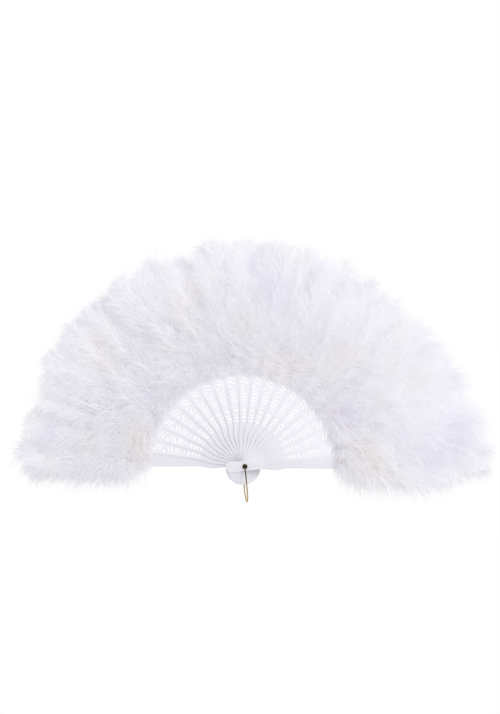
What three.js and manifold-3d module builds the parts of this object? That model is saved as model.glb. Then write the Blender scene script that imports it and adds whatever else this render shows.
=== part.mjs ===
// A folding hand fan: pierced moulded sticks on a rivet, each with a plume of marabou down, and a wire bail.
// Millimetres, +Z up. The fan stands open with its front towards -Y and +X to the viewer's right.
// The origin is on the rivet's axis, at the middle of the stack of sticks.
import * as THREE from "three";
import { mergeVertices } from "three/addons/utils/BufferGeometryUtils.js";
import Module from "manifold-3d";

// The stack, from the rear guard at the left to the front guard at the right
const INNER_STICKS = 19;
const SPREAD_DEGREES = 174;
const STICK_THICKNESS = 0.8;
const GUARD_THICKNESS = 1.6;
const GUARD_CHAMFER = 0.35;
const LAYER_GAP = 0.3;

// One stick's outline: its lengths in order from the rivet, with half its width at the end of each
const HEAD_REACH = 22;
const HEAD_HALF_WIDTH = 6.5;
const NECK_LENGTH = 19;
const NECK_HALF_WIDTH = 4;
const SHOULDER_LENGTH = 16;
const SHOULDER_HALF_WIDTH = 5.8;
const WAIST_LENGTH = 15;
const WAIST_HALF_WIDTH = 4.3;
const BLADE_LENGTH = 58;
const BLADE_END_HALF_WIDTH = 7.9;
const RIB_LENGTH = 82;
const RIB_HALF_WIDTH = 2.4;
const RIB_TIP_HALF_WIDTH = 1.1;

// The pierced band of a blade
const PIERCED_START_GAP = 1;
const PIERCED_RIM = 4.5;
const PIERCED_BORDER = 1.8;
const FINE_SLIT = 0.9;
const SLIT = 1.7;
const WIDE_SLIT = 2.6;

// The rivet and the wire bail that hangs on it
const RIVET_RADIUS = 1.25;
const RIVET_HEAD_OVERHANG = 0.95;
const RIVET_HEAD_HEIGHT = 1.2;
const RUNNING_CLEARANCE = 0.25;
const BAIL_WIRE_RADIUS = 0.7;
const BAIL_HEAD_GAP = 4;
const BAIL_BEND_DROP = 16;
const BAIL_TILT_DEGREES = 6.3;

// The ribbon that links the ribs
const RIBBON_STANDOFF = 1.5;
const RIBBON_WIDTH = 4;
const RIBBON_THICKNESS = 0.3;
const RIBBON_GAP = 0.45;

// The plumes
const PLUME_STANDOFF = 1;
const PLUME_PAST_RIB = 71;
const FRONT_PLUME_PAST_RIB = 100;
const PLUME_HALF_THICKNESS = 15;
const PLUME_SIDE_GAP = 0.4;
const GUARD_SKIRT = 37;
const POCKET_CLEARANCE = 0.35;

const BORE_SIDES = 12;
const BAIL_BEND_STEPS = 12;
const BAIL_WIRE_SIDES = 8;
const LAST = INNER_STICKS + 1;
const PITCH = THREE.MathUtils.degToRad(SPREAD_DEGREES) / LAST;
const STACK = 2 * GUARD_THICKNESS + INNER_STICKS * STICK_THICKNESS + LAST * LAYER_GAP;
const SHOULDER_AT = NECK_LENGTH + SHOULDER_LENGTH;
const WAIST_AT = SHOULDER_AT + WAIST_LENGTH;
const BLADE_END = WAIST_AT + BLADE_LENGTH;
const RIB_END = BLADE_END + RIB_LENGTH;
const BORE_RADIUS = RIVET_RADIUS + RUNNING_CLEARANCE;
const BAIL_LEG = HEAD_REACH + BAIL_HEAD_GAP;
const EYE_PLANE = STACK / 2 + LAYER_GAP + BAIL_WIRE_RADIUS;
const RIBBON_FROM = BLADE_END + RIBBON_STANDOFF;
const PLUME_FROM = RIBBON_FROM + RIBBON_WIDTH + PLUME_STANDOFF;

const wasm = await Module();
wasm.setup();

function solidOf(geometry) {
  const bare = geometry.clone();
  bare.deleteAttribute("normal");
  bare.deleteAttribute("uv");
  const merged = mergeVertices(bare, 1e-4);
  const mesh = new wasm.Mesh({
    numProp: 3,
    vertProperties: merged.attributes.position.array,
    triVerts: new Uint32Array(merged.index.array),
  });
  return new wasm.Manifold(mesh);
}

function geometryOf(solid) {
  const mesh = solid.getMesh();
  const geometry = new THREE.BufferGeometry();
  geometry.setAttribute("position", new THREE.BufferAttribute(mesh.vertProperties, 3));
  geometry.setIndex(new THREE.BufferAttribute(mesh.triVerts, 1));
  geometry.computeVertexNormals();
  return geometry;
}

// A closed solid through rings of points, each ring anticlockwise seen from the far end.
function loft(rings) {
  const count = rings[0].length;
  const positions = rings.flat().flatMap((point) => [point.x, point.y, point.z]);
  const index = [];
  for (let r = 0; r + 1 < rings.length; r++) {
    for (let i = 0; i < count; i++) {
      const a = r * count + i;
      const b = r * count + ((i + 1) % count);
      index.push(a, b, b + count, a, b + count, a + count);
    }
  }
  const last = (rings.length - 1) * count;
  for (let i = 1; i + 1 < count; i++) {
    index.push(0, i + 1, i);
    index.push(last, last + i, last + i + 1);
  }
  const geometry = new THREE.BufferGeometry();
  geometry.setAttribute("position", new THREE.Float32BufferAttribute(positions, 3));
  geometry.setIndex(index);
  geometry.computeVertexNormals();
  return geometry;
}

// Each layer counts from the rear guard, 0, to the front guard.
function isGuard(layer) {
  return layer === 0 || layer === LAST;
}

function thicknessOf(layer) {
  return isGuard(layer) ? GUARD_THICKNESS : STICK_THICKNESS;
}

function depthOf(layer) {
  const gaps = layer * LAYER_GAP;
  const guard = Math.min(layer, 1) * GUARD_THICKNESS;
  const sticks = Math.max(layer - 1, 0) * STICK_THICKNESS;
  return guard + sticks + gaps + thicknessOf(layer) / 2 - STACK / 2;
}

// The turn of a layer from straight up, positive to the left.
function turnOf(layer) {
  return PITCH * (LAST / 2 - layer);
}

// Half the width of a blade, at a distance along the stick from the rivet.
function bladeHalfWidth(along) {
  const share = (along - WAIST_AT) / (BLADE_END - WAIST_AT);
  return THREE.MathUtils.lerp(WAIST_HALF_WIDTH, BLADE_END_HALF_WIDTH, share);
}

function ribHalfWidth(along) {
  const share = (along - BLADE_END) / (RIB_END - BLADE_END);
  return THREE.MathUtils.lerp(RIB_HALF_WIDTH, RIB_TIP_HALF_WIDTH, share);
}

function stickOutline() {
  const headAt = HEAD_HALF_WIDTH - HEAD_REACH;
  const head = new THREE.EllipseCurve(0, headAt, HEAD_HALF_WIDTH, HEAD_HALF_WIDTH, -Math.PI, 0);
  const side = new THREE.SplineCurve([
    new THREE.Vector2(HEAD_HALF_WIDTH, headAt),
    new THREE.Vector2(NECK_HALF_WIDTH, NECK_LENGTH),
    new THREE.Vector2(SHOULDER_HALF_WIDTH, SHOULDER_AT),
    new THREE.Vector2(WAIST_HALF_WIDTH, WAIST_AT),
  ]);
  const right = side.getPoints(10).slice(1);
  right.push(new THREE.Vector2(BLADE_END_HALF_WIDTH, BLADE_END));
  right.push(new THREE.Vector2(RIB_HALF_WIDTH, BLADE_END));
  right.push(new THREE.Vector2(RIB_TIP_HALF_WIDTH, RIB_END));
  const left = right.map((point) => new THREE.Vector2(-point.x, point.y)).reverse();
  return new THREE.Shape([...head.getPoints(8), ...right, ...left]);
}

function bore() {
  const circle = new THREE.EllipseCurve(0, 0, BORE_RADIUS, BORE_RADIUS);
  return new THREE.Path(circle.getPoints(BORE_SIDES).slice(0, BORE_SIDES));
}

// A slit across the blade with pointed ends, turned by its slope and moved sideways by a share of the band.
function slit(along, height, slopeDegrees, shareOfBand, shift) {
  const band = bladeHalfWidth(along) - PIERCED_BORDER;
  const half = band * shareOfBand;
  const point = 0.6 * Math.min(height, half);
  const slope = Math.tan(THREE.MathUtils.degToRad(slopeDegrees));
  const corners = [
    [-half, 0],
    [-half + point, -height / 2],
    [half - point, -height / 2],
    [half, 0],
    [half - point, height / 2],
    [-half + point, height / 2],
  ];
  const points = corners.map(([x, y]) => new THREE.Vector2(x + shift * band, along + y + slope * x));
  return new THREE.Path(points);
}

// The pierced motif, from the waist outwards: short bars, an eye, fine bars, arches, and two slanted pairs
// that meet in a chevron with a triangle at its open side. Places are shares of the pierced length.
function piercings() {
  const from = WAIST_AT + PIERCED_START_GAP;
  const length = BLADE_END - PIERCED_RIM - from;
  const at = (share) => from + share * length;
  const triangleBand = bladeHalfWidth(at(0.785)) - PIERCED_BORDER;
  const triangle = [
    new THREE.Vector2(-0.85 * triangleBand, at(0.747)),
    new THREE.Vector2(0.05 * triangleBand, at(0.792)),
    new THREE.Vector2(-0.85 * triangleBand, at(0.815)),
  ];
  return [
    ...[0.02, 0.09, 0.158].map((share) => slit(at(share), SLIT, 0, 0.92, 0)),
    slit(at(0.25), WIDE_SLIT, 0, 0.85, 0),
    ...[0.345, 0.405].map((share) => slit(at(share), FINE_SLIT, 0, 0.6, 0)),
    ...[0.466, 0.533].map((share) => slit(at(share), SLIT, 0, 0.88, 0)),
    slit(at(0.618), SLIT, 26, 0.85, -0.05),
    slit(at(0.698), SLIT, 30, 0.8, -0.05),
    new THREE.Path(triangle),
    slit(at(0.868), SLIT, -24, 0.86, 0),
    slit(at(0.945), SLIT, -27, 0.78, 0.1),
  ];
}

// A stick lies in its own plane, with the rivet at the origin and the stick along +Y.
function piercedStickGeometry() {
  const shape = stickOutline();
  shape.holes = [bore(), ...piercings()];
  const geometry = new THREE.ExtrudeGeometry(shape, { depth: STICK_THICKNESS, bevelEnabled: false });
  return geometry.translate(0, 0, -STICK_THICKNESS / 2);
}

function guardGeometry() {
  const shape = stickOutline();
  shape.holes = [bore()];
  const chamfer = Math.min(GUARD_CHAMFER, GUARD_THICKNESS / 3);
  const depth = GUARD_THICKNESS - 2 * chamfer;
  const geometry = new THREE.ExtrudeGeometry(shape, {
    depth,
    bevelSegments: 1,
    bevelThickness: chamfer,
    bevelSize: chamfer,
    bevelOffset: -chamfer,
  });
  return geometry.translate(0, 0, -depth / 2);
}

// Sections of a plume, from its root to its tip: place along it, fullness of its sides and of its thickness,
// and how far a guard's plume spreads past the guard. Each is a share of the plume's own size.
const PLUME_SECTIONS = [
  { along: 0, side: 0.8, thick: 0.34, skirt: 0.45 },
  { along: 0.12, side: 1, thick: 0.64, skirt: 0.8 },
  { along: 0.35, side: 1, thick: 1, skirt: 1 },
  { along: 0.6, side: 1, thick: 0.78, skirt: 0.97 },
  { along: 0.82, side: 0.95, thick: 0.62, skirt: 0.8 },
  { along: 0.93, side: 0.7, thick: 0.42, skirt: 0.5 },
  { along: 1, side: 0.22, thick: 0.16, skirt: 0.15 },
];

// The plumes of the front half grow longer towards the front guard.
function plumeReach(layer) {
  const side = Math.max((2 * layer - LAST) / LAST, 0);
  return RIB_END + THREE.MathUtils.lerp(PLUME_PAST_RIB, FRONT_PLUME_PAST_RIB, side ** 3);
}

// A plume swells to a rounded middle and tapers to its tip. Its root is split by a pocket for the rib.
function plumeGeometry(layer) {
  const reach = plumeReach(layer);
  const rings = PLUME_SECTIONS.map((section) => {
    const along = THREE.MathUtils.lerp(PLUME_FROM, reach, section.along);
    const sector = along * Math.tan(PITCH / 2) - PLUME_SIDE_GAP;
    const left = layer === 0 ? GUARD_SKIRT * section.skirt : sector * section.side;
    const right = layer === LAST ? GUARD_SKIRT * section.skirt : sector * section.side;
    const thick = PLUME_HALF_THICKNESS * section.thick;
    const profile = [
      [right, 0.6],
      [right, -0.6],
      [0.6 * right, -0.92],
      [0, -1],
      [-0.6 * left, -0.92],
      [-left, -0.6],
      [-left, 0.6],
      [-0.6 * left, 0.92],
      [0, 1],
      [0.6 * right, 0.92],
    ];
    return profile.map(([x, share]) => new THREE.Vector3(x, along, share * thick));
  });
  const pocketEnd = RIB_END + POCKET_CLEARANCE;
  const startHalf = ribHalfWidth(RIBBON_FROM) + POCKET_CLEARANCE;
  const endHalf = RIB_TIP_HALF_WIDTH + POCKET_CLEARANCE;
  const pocketShape = new THREE.Shape([
    new THREE.Vector2(-startHalf, RIBBON_FROM),
    new THREE.Vector2(startHalf, RIBBON_FROM),
    new THREE.Vector2(endHalf, pocketEnd),
    new THREE.Vector2(-endHalf, pocketEnd),
  ]);
  const pocketDepth = thicknessOf(layer) + 2 * POCKET_CLEARANCE;
  const pocket = new THREE.ExtrudeGeometry(pocketShape, { depth: pocketDepth, bevelEnabled: false });
  pocket.translate(0, 0, -pocketDepth / 2);
  return geometryOf(solidOf(loft(rings)).subtract(solidOf(pocket)));
}

// The ribbon lies flat behind every rib and steps forward between them, from layer to layer.
function ribbonGeometry() {
  const ribEdge = Math.atan((ribHalfWidth(RIBBON_FROM) + POCKET_CLEARANCE) / RIBBON_FROM);
  const rings = [];
  for (let layer = 0; layer <= LAST; layer++) {
    const front = depthOf(layer) - thicknessOf(layer) / 2 - RIBBON_GAP;
    const back = front - RIBBON_THICKNESS;
    for (const turn of [turnOf(layer) + ribEdge, turnOf(layer) - ribEdge]) {
      const out = new THREE.Vector3(-Math.sin(turn), Math.cos(turn), 0);
      const inner = out.clone().multiplyScalar(RIBBON_FROM);
      const outer = out.clone().multiplyScalar(RIBBON_FROM + RIBBON_WIDTH);
      rings.push([
        inner.clone().setZ(back),
        outer.clone().setZ(back),
        outer.clone().setZ(front),
        inner.clone().setZ(front),
      ]);
    }
  }
  return loft(rings);
}

// The rivet's profile, from its rear head to its front head, turned round its axis.
function rivetGeometry() {
  const seat = EYE_PLANE + BAIL_WIRE_RADIUS + LAYER_GAP;
  const headRadius = RIVET_RADIUS + RIVET_HEAD_OVERHANG;
  const head = [
    new THREE.Vector2(RIVET_RADIUS, seat),
    new THREE.Vector2(headRadius, seat),
    new THREE.Vector2(0.92 * headRadius, seat + 0.45 * RIVET_HEAD_HEIGHT),
    new THREE.Vector2(0.6 * headRadius, seat + 0.85 * RIVET_HEAD_HEIGHT),
    new THREE.Vector2(0, seat + RIVET_HEAD_HEIGHT),
  ];
  const tail = head.map((point) => new THREE.Vector2(point.x, -point.y)).reverse();
  return new THREE.LatheGeometry([...tail, ...head], 16).rotateX(Math.PI / 2);
}

// The bail is one wire: an eye round each end of the rivet, two straight legs and a round bottom.
function bailGeometry() {
  const eyeRadius = BORE_RADIUS + BAIL_WIRE_RADIUS;
  const bend = [];
  for (let step = 0; step <= BAIL_BEND_STEPS; step++) {
    const angle = (Math.PI * step) / BAIL_BEND_STEPS;
    const drop = BAIL_BEND_DROP * Math.sin(angle);
    bend.push(new THREE.Vector3(0, -BAIL_LEG - drop, EYE_PLANE * Math.cos(angle)));
  }
  const path = new THREE.CurvePath();
  path.add(new THREE.LineCurve3(new THREE.Vector3(0, -eyeRadius, EYE_PLANE), bend[0]));
  path.add(new THREE.CatmullRomCurve3(bend));
  path.add(new THREE.LineCurve3(bend[BAIL_BEND_STEPS], new THREE.Vector3(0, -eyeRadius, -EYE_PLANE)));
  const circle = new THREE.EllipseCurve(0, 0, BAIL_WIRE_RADIUS, BAIL_WIRE_RADIUS);
  const section = new THREE.Shape(circle.getPoints(BAIL_WIRE_SIDES).slice(0, BAIL_WIRE_SIDES));
  const wire = new THREE.ExtrudeGeometry(section, { extrudePath: path, steps: 2 * BAIL_BEND_STEPS });
  let bail = solidOf(wire);
  for (const plane of [EYE_PLANE, -EYE_PLANE]) {
    const eye = new THREE.TorusGeometry(eyeRadius, BAIL_WIRE_RADIUS, BAIL_WIRE_SIDES, BORE_SIDES);
    bail = bail.add(solidOf(eye.translate(0, 0, plane)));
  }
  return geometryOf(bail);
}

const stickPlastic = new THREE.MeshStandardMaterial({ color: 0xe9e7ee, roughness: 0.42, metalness: 0 });
const guardPlastic = new THREE.MeshStandardMaterial({ color: 0xf0eff4, roughness: 0.38, metalness: 0 });
const marabouDown = new THREE.MeshStandardMaterial({ color: 0xf1eff7, roughness: 0.95, metalness: 0 });
const satinRibbon = new THREE.MeshStandardMaterial({ color: 0xf2f0f4, roughness: 0.5, metalness: 0 });
const darkRivet = new THREE.MeshStandardMaterial({ color: 0x2a2523, roughness: 0.25, metalness: 1 });
const brassWire = new THREE.MeshStandardMaterial({ color: 0x9a8248, roughness: 0.3, metalness: 1 });

// Inside this group +Y is up and +Z is towards the viewer. Turning it stands the fan along +Z.
const fan = new THREE.Group();
fan.rotation.x = Math.PI / 2;

function add(name, geometry, material) {
  const mesh = new THREE.Mesh(geometry, material);
  mesh.name = name;
  fan.add(mesh);
  return mesh;
}

function numbered(layer) {
  return String(layer).padStart(2, "0");
}

for (let layer = 0; layer <= LAST; layer++) {
  const guardName = layer === 0 ? "rear_guard" : "front_guard";
  const stick = isGuard(layer)
    ? add(guardName, guardGeometry(), guardPlastic)
    : add("pierced_stick_" + numbered(layer), piercedStickGeometry(), stickPlastic);
  const plumeName = isGuard(layer) ? guardName + "_plume" : "plume_" + numbered(layer);
  const plume = add(plumeName, plumeGeometry(layer), marabouDown);
  for (const mesh of [stick, plume]) {
    mesh.position.z = depthOf(layer);
    mesh.rotation.z = turnOf(layer);
  }
}

add("linking_ribbon", ribbonGeometry(), satinRibbon);
add("rivet", rivetGeometry(), darkRivet);
const bail = add("wire_bail", bailGeometry(), brassWire);
bail.rotation.z = THREE.MathUtils.degToRad(BAIL_TILT_DEGREES);

const part = new THREE.Group();
part.add(fan);
export default part;
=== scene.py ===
"""A white marabou hand fan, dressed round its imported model. Metres, in the model's own frame."""
import math
import random

import bpy
from mathutils import Matrix, Vector


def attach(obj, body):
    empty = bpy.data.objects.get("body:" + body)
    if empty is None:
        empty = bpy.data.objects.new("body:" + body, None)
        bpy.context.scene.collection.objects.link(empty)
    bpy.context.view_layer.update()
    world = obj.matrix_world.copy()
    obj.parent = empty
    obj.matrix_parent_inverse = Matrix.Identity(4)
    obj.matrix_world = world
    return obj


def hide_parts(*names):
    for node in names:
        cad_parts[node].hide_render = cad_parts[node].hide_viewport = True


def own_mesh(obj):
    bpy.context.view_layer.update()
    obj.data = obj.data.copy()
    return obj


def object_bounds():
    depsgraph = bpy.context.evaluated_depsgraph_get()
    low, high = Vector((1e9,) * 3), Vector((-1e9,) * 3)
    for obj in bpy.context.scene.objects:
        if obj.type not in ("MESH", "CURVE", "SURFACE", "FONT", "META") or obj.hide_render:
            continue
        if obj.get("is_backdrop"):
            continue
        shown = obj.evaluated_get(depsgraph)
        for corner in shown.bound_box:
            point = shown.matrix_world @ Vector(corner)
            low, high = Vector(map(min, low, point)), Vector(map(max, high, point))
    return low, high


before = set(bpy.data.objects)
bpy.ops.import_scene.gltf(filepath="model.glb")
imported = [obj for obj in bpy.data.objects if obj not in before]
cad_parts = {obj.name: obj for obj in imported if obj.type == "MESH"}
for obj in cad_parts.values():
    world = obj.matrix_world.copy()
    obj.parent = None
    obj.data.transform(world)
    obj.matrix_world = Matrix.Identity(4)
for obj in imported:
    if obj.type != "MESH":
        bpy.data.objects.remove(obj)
cad_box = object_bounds()


# The viewpoint: a short telephoto lens, level with the plumes and turned a few degrees to the fan's left.
# The fan is held a little off level, so the lens is rolled by the same angle.
image_width = 500
image_height = 714
metres_per_pixel = 0.00115
rivet_pixel = (243.5, 465.6)
lens_distance = 1.5
lens_yaw = math.radians(-7.5)
lens_roll = math.radians(0.8)

lens = bpy.data.cameras.new("viewpoint")
lens.sensor_fit = "VERTICAL"
lens.lens = lens.sensor_height * lens_distance / (image_height * metres_per_pixel)
turned = Matrix.Rotation(lens_yaw, 4, "Z")
turned = turned @ Matrix.Rotation(math.pi / 2, 4, "X") @ Matrix.Rotation(lens_roll, 4, "Z")
sideways = (image_width / 2 - rivet_pixel[0]) * metres_per_pixel
upwards = (rivet_pixel[1] - image_height / 2) * metres_per_pixel
viewpoint = bpy.data.objects.new("viewpoint", lens)
viewpoint.matrix_world = turned @ Matrix.Translation((sideways, upwards, lens_distance))
bpy.context.scene.collection.objects.link(viewpoint)
bpy.context.scene.camera = viewpoint


# The nineteen inner sticks: white polystyrene, injection moulded with their pierced pattern in one shot.
# Each is threaded on the rivet by its head, and its narrow rib runs on under the down.
last_layer = 20
body_names = ["rear_guard", *[f"stick_{layer:02d}" for layer in range(1, last_layer)], "front_guard"]


def linear(hex_colour):
    """An sRGB hex colour as linear red, green, blue and alpha."""
    channels = [int(hex_colour[i : i + 2], 16) / 255 for i in (1, 3, 5)]
    return [c / 12.92 if c <= 0.04045 else ((c + 0.055) / 1.055) ** 2.4 for c in channels] + [1.0]


def add_node(tree, kind, inputs=None, **settings):
    """Adds a node with its settings. Each input is a value to set, or another node's output to link."""
    node = tree.nodes.new(kind)
    for name, value in settings.items():
        setattr(node, name, value)
    for key, value in (inputs or {}).items():
        if isinstance(value, bpy.types.NodeSocket):
            tree.links.new(value, node.inputs[key])
        else:
            node.inputs[key].default_value = value
    return node


fan_plane = (1, 0, 1)
flow_mark = 0.018
drawn_grain = 0.0016
head_edge = (0.02, 0.028)
neck_edge = (0.03, 0.075)
light_depth = 0.0008


def moulded_polystyrene(name, neck_shade_colour, clean_colour, flow_colour, gloss_roughness, dull_roughness):
    """Satin white plastic with broad flow marks and an etched grain, and painted shade that greys the necks
    between the heads and the blades.
    """
    material = bpy.data.materials.new(name)
    material.use_nodes = True
    tree = material.node_tree
    shader = tree.nodes["Principled BSDF"]
    place = add_node(tree, "ShaderNodeTexCoord").outputs["Object"]
    # Flow marks are some 18 mm across, and the etched grain of 0.3 mm is drawn at 1.6 mm so that it shows.
    flow = add_node(tree, "ShaderNodeTexNoise", {"Vector": place, "Scale": 1 / flow_mark, "Detail": 3.0})
    grain = add_node(tree, "ShaderNodeTexNoise", {"Vector": place, "Scale": 1 / drawn_grain, "Detail": 2.0})
    fresh = add_node(
        tree,
        "ShaderNodeMix",
        {0: flow.outputs["Fac"], 6: linear(clean_colour), 7: linear(flow_colour)},
        data_type="RGBA",
    )
    in_plane = add_node(tree, "ShaderNodeVectorMath", {0: place, 1: fan_plane}, operation="MULTIPLY")
    from_rivet = add_node(tree, "ShaderNodeVectorMath", {0: in_plane.outputs["Vector"]}, operation="LENGTH")
    past_necks = add_node(
        tree,
        "ShaderNodeMapRange",
        {"Value": from_rivet.outputs["Value"], "From Min": neck_edge[0], "From Max": neck_edge[1]},
    )
    on_heads = add_node(
        tree,
        "ShaderNodeMapRange",
        {
            "Value": from_rivet.outputs["Value"],
            "From Min": head_edge[0],
            "From Max": head_edge[1],
            "To Min": 1.0,
            "To Max": 0.0,
        },
    )
    out_of_neck_shade = add_node(
        tree,
        "ShaderNodeMath",
        {0: past_necks.outputs["Result"], 1: on_heads.outputs["Result"]},
        operation="MAXIMUM",
    )
    # Painted shade: the necks, from the heads out to the pierced blades, take the greyer colour.
    colour = add_node(
        tree,
        "ShaderNodeMix",
        {0: out_of_neck_shade.outputs[0], 6: linear(neck_shade_colour), 7: fresh.outputs[2]},
        data_type="RGBA",
    )
    dullness = add_node(
        tree,
        "ShaderNodeMapRange",
        {
            "Value": flow.outputs["Fac"],
            "From Min": 0.3,
            "From Max": 0.7,
            "To Min": gloss_roughness,
            "To Max": dull_roughness,
        },
    )
    bump = add_node(
        tree,
        "ShaderNodeBump",
        {"Height": grain.outputs["Fac"], "Strength": 0.25, "Distance": 0.00004},
    )
    tree.links.new(colour.outputs[2], shader.inputs["Base Color"])
    tree.links.new(dullness.outputs["Result"], shader.inputs["Roughness"])
    tree.links.new(bump.outputs["Normal"], shader.inputs["Normal"])
    shader.inputs["IOR"].default_value = 1.59
    # Light goes 0.8 mm into the white plastic, which softens the lines between the sticks.
    shader.inputs["Subsurface Weight"].default_value = 0.5
    shader.inputs["Subsurface Radius"].default_value = (1.0, 1.0, 1.0)
    shader.inputs["Subsurface Scale"].default_value = light_depth
    return material


# The first colour is the painted shade on the sticks' necks.
stick_polystyrene = moulded_polystyrene("stick_polystyrene", "#EDEAED", "#F5F3F6", "#EFEDF0", 0.38, 0.5)
for layer in range(1, last_layer):
    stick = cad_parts[f"pierced_stick_{layer:02d}"]
    stick.data.materials.clear()
    stick.data.materials.append(stick_polystyrene)


# The two guards: the same plastic, moulded twice as thick and left solid, with polished outer faces.
# They close the stack at the front and the back.
# The first colour is the painted shade on the guards' necks.
guard_polystyrene = moulded_polystyrene("guard_polystyrene", "#EBE8EB", "#F1EFF1", "#EBE9EC", 0.3, 0.42)
for name in ("rear_guard", "front_guard"):
    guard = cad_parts[name]
    guard.data.materials.clear()
    guard.data.materials.append(guard_polystyrene)


# The rivet: a blackened steel pin through all the heads, with a domed head formed at each end.
# It is turned here from its profile, with a small round at the rim that catches the light.
shank_radius = 0.00125
head_radius = 0.0022
head_seat = 0.0142
head_height = 0.0012
rivet_sides = 48
rim_round = 0.00025
rim_steps = 4
dome_steps = 8
oxide_patch = 0.0005


def lathe_mesh(name, profile, sides):
    """A closed mesh of points (radius, place along Y) turned round the Y axis, from pole to pole."""
    vertices = [(0, profile[0][1], 0)]
    for radius, along in profile[1:-1]:
        for side in range(sides):
            angle = 2 * math.pi * side / sides
            vertices.append((radius * math.cos(angle), along, -radius * math.sin(angle)))
    vertices.append((0, profile[-1][1], 0))
    faces = []
    rings = len(profile) - 2
    for side in range(sides):
        after = (side + 1) % sides
        faces.append((0, 1 + after, 1 + side))
        for ring in range(rings - 1):
            low = 1 + ring * sides
            high = low + sides
            faces.append((low + side, low + after, high + after, high + side))
        top = 1 + (rings - 1) * sides
        faces.append((top + side, top + after, len(vertices) - 1))
    mesh = bpy.data.meshes.new(name)
    mesh.from_pydata(vertices, [], faces)
    mesh.shade_smooth()
    return mesh


half_profile = [(shank_radius, 0.0), (shank_radius, head_seat), (head_radius - rim_round, head_seat)]
for step in range(1, rim_steps + 1):
    angle = math.pi / 2 * step / rim_steps
    rim_radius = head_radius - rim_round * (1 - math.sin(angle))
    half_profile.append((rim_radius, head_seat + rim_round * (1 - math.cos(angle))))
for step in range(1, dome_steps):
    angle = math.pi / 2 * step / dome_steps
    dome_rise = (head_height - rim_round) * math.sin(angle)
    half_profile.append((head_radius * math.cos(angle), head_seat + rim_round + dome_rise))
pole = (0.0, head_seat + head_height)
rear_half = [(radius, -along) for radius, along in reversed([*half_profile[1:], pole])]
blackened_steel = bpy.data.materials.new("blackened_steel")
blackened_steel.use_nodes = True
tree = blackened_steel.node_tree
shader = tree.nodes["Principled BSDF"]
place = add_node(tree, "ShaderNodeTexCoord").outputs["Object"]
# The oxide is uneven in patches of half a millimetre, browner where it is thin.
patches = add_node(tree, "ShaderNodeTexNoise", {"Vector": place, "Scale": 1 / oxide_patch, "Detail": 3.0})
oxide = add_node(
    tree,
    "ShaderNodeMix",
    {0: patches.outputs["Fac"], 6: linear("#181414"), 7: linear("#3A302B")},
    data_type="RGBA",
)
wear = add_node(
    tree,
    "ShaderNodeMapRange",
    {"Value": patches.outputs["Fac"], "To Min": 0.18, "To Max": 0.45},
)
tree.links.new(oxide.outputs[2], shader.inputs["Base Color"])
tree.links.new(wear.outputs["Result"], shader.inputs["Roughness"])
shader.inputs["Metallic"].default_value = 1.0

rivet_mesh = lathe_mesh("turned_rivet", [*rear_half, *half_profile, pole], rivet_sides)
rivet_mesh.materials.append(blackened_steel)
rivet = bpy.data.objects.new("turned_rivet", rivet_mesh)
bpy.context.scene.collection.objects.link(rivet)
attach(rivet, "rear_guard")
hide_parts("rivet")


# The bail: one length of 1.4 mm brass wire, hooked round each end of the rivet and bent in a loop below.
# It hangs free, and a finger or a ribbon goes through it.
wire_radius = 0.0007
eye_radius = 0.0022
eye_plane = 0.0132
leg_length = 0.026
bend_drop = 0.016
bail_tilt = math.radians(6.3)
hook_turn = math.radians(318)
hook_steps = 22
leg_steps = 6
bend_steps = 28
tarnish_patch = 0.003

front_hook = []
for step in range(hook_steps):
    angle = -math.pi / 2 + hook_turn * (1 - step / hook_steps)
    front_hook.append(Vector((eye_radius * math.cos(angle), -eye_plane, eye_radius * math.sin(angle))))
front_leg = []
for step in range(leg_steps):
    share = step / leg_steps
    front_leg.append(Vector((0, -eye_plane, -eye_radius - (leg_length - eye_radius) * share)))
loop = []
for step in range(bend_steps + 1):
    angle = math.pi * step / bend_steps
    loop.append(Vector((0, -eye_plane * math.cos(angle), -leg_length - bend_drop * math.sin(angle))))
rear_leg = [Vector((point.x, -point.y, point.z)) for point in reversed(front_leg)]
rear_hook = [Vector((point.x, -point.y, point.z)) for point in reversed(front_hook)]
wire_line = [*front_hook, *front_leg, *loop, *rear_leg, *rear_hook]
tilt = Matrix.Rotation(-bail_tilt, 4, "Y")
line_mesh = bpy.data.meshes.new("bail_line")
line_steps = [(step, step + 1) for step in range(len(wire_line) - 1)]
line_mesh.from_pydata([tilt @ point for point in wire_line], line_steps, [])

brass_wire = bpy.data.materials.new("drawn_brass_wire")
brass_wire.use_nodes = True
tree = brass_wire.node_tree
shader = tree.nodes["Principled BSDF"]
place = add_node(tree, "ShaderNodeTexCoord").outputs["Object"]
# Olive tarnish lies in patches of some 3 mm, and the wire is darker towards the rivet and yellower at the
# loop's end.
patches = add_node(tree, "ShaderNodeTexNoise", {"Vector": place, "Scale": 1 / tarnish_patch, "Detail": 4.0})
up_wire = add_node(
    tree,
    "ShaderNodeMapRange",
    {
        "Value": add_node(tree, "ShaderNodeSeparateXYZ", {"Vector": place}).outputs["Z"],
        "From Min": -0.04,
        "From Max": -0.012,
        "To Min": -0.3,
        "To Max": 0.5,
    },
)
tarnish = add_node(
    tree,
    "ShaderNodeMath",
    {0: patches.outputs["Fac"], 1: up_wire.outputs["Result"]},
    operation="ADD",
    use_clamp=True,
)
brass_colour = add_node(
    tree,
    "ShaderNodeMix",
    {0: tarnish.outputs[0], 6: linear("#D6B466"), 7: linear("#4E4629")},
    data_type="RGBA",
)
tarnish_dullness = add_node(
    tree,
    "ShaderNodeMapRange",
    {"Value": tarnish.outputs[0], "To Min": 0.2, "To Max": 0.45},
)
tree.links.new(brass_colour.outputs[2], shader.inputs["Base Color"])
tree.links.new(tarnish_dullness.outputs["Result"], shader.inputs["Roughness"])
shader.inputs["Metallic"].default_value = 1.0

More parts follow.
